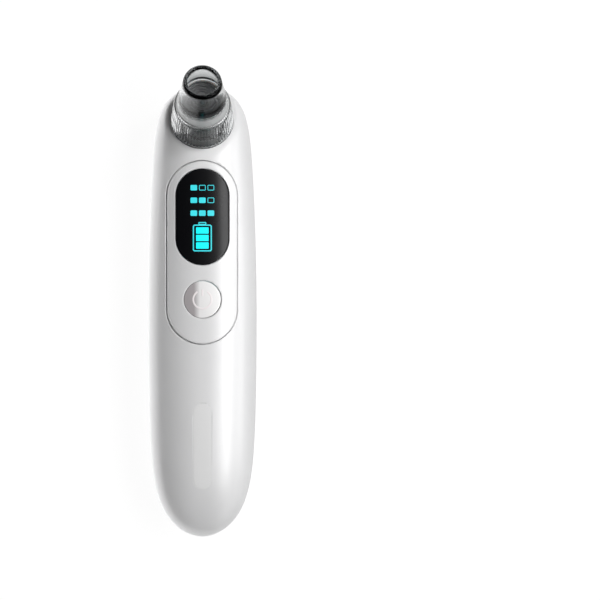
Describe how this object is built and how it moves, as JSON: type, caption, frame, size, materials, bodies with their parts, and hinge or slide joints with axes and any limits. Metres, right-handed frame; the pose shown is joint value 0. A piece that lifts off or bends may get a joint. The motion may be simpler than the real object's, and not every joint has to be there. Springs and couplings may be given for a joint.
{
  "type": "blackhead vacuum extractor",
  "caption": "Hand-held pore suction device with a rounded two-shell casing, a display, a power button and a clear tilted suction head.",
  "frame": {"origin": "bottom centre of the whole part's box as it lies on its flat back", "axes": "+Z out of the display, +Y along the casing towards the suction head, +X across it to the right of the display"},
  "size_m": [0.038, 0.1629, 0.0537],
  "materials": {
    "shell_white": "satin gloss white ABS",
    "panel_white": "gloss white inlay",
    "display_black": "smoked black acrylic",
    "badge_grey": "matte pale grey inlay",
    "button_pearl": "pearl plated plastic",
    "clear_head": "clear moulded plastic",
    "socket_grey": "grey moulded plastic",
    "filter_grey": "dark grey moulded plastic",
    "sponge": "open foam",
    "white_silicone": "translucent silicone",
    "black_rubber": "matte black rubber",
    "white_plastic": "natural white nylon",
    "black_plastic": "black nylon",
    "steel": "plated steel",
    "brass": "sintered bronze",
    "board_green": "green solder mask",
    "display_light": "lit cyan segments",
    "battery_wrap": "blue shrink wrap",
    "red_wire": "red PVC sleeve",
    "black_wire": "black PVC sleeve"
  },
  "bodies": {
    "housing": {"front_shell": "shell_white", "rear_shell": "shell_white", "control_panel": "panel_white", "display_lens": "display_black", "badge_inlay": "badge_grey", "nozzle_base": "socket_grey", "base_gasket": "black_rubber", "head_o_ring": "black_rubber", "air_tube": "white_silicone", "motor_can": "steel", "motor_bush": "brass", "motor_end_cap": "white_plastic", "pump_saddle": "black_rubber", "pump_crank_case": "black_plastic", "wobble_plate": "white_plastic", "pump_diaphragm": "black_rubber", "pump_valve_plate": "white_plastic", "pump_cover": "black_plastic", "main_pcb": "board_green", "display_module": "display_light", "control_chip": "black_plastic", "tact_switch": "black_plastic", "battery_cell": "battery_wrap", "battery_cradle": "white_plastic", "charge_pcb": "board_green", "usb_port": "steel", "usb_tongue": "black_plastic", "case_screw_1": "steel", "case_screw_2": "steel", "case_screw_3": "steel", "case_screw_4": "steel", "pcb_screw_1": "steel", "pcb_screw_2": "steel", "battery_lead_red": "red_wire", "battery_lead_black": "black_wire", "charge_lead": "red_wire", "motor_lead_red": "red_wire", "motor_lead_black": "black_wire"},
    "button": {"power_button": "button_pearl"},
    "switch": {"switch_plunger": "white_plastic"},
    "collar": {"seal_ring": "white_silicone"},
    "head": {"suction_head": "clear_head"},
    "filter": {"filter_cap": "filter_grey", "filter_sponge": "sponge"},
    "rotor": {"motor_rotor": "steel", "pump_crank": "white_plastic"}
  },
  "joints": [
    {"name": "button_press", "type": "slide", "parent": "housing", "child": "button", "axis": [0, 0, -1], "range_m": [0, 0.0005], "stiffness_N_per_m": 2000},
    {"name": "switch_travel", "type": "slide", "parent": "housing", "child": "switch", "axis": [0, 0, -1], "range_m": [0, 0.0005]},
    {"name": "head_twist", "type": "hinge", "parent": "housing", "child": "collar", "pos_m": [0, 0.06314, 0.0243], "axis": [0, 0.4226, 0.9063], "continuous": true},
    {"name": "head_pull", "type": "slide", "parent": "collar", "child": "head", "axis": [0, 0.4226, 0.9063], "range_m": [0, 0.02]},
    {"name": "filter_lift", "type": "slide", "parent": "housing", "child": "filter", "axis": [0, 0.4226, 0.9063], "range_m": [0, 0.003]},
    {"name": "motor_spin", "type": "hinge", "parent": "housing", "child": "rotor", "pos_m": [0, 0.00694, 0.0113], "axis": [0, 1, 0], "continuous": true}
  ],
  "couplings": [
    {"joint": "switch_travel", "follows": "button_press", "ratio": 1}
  ]
}
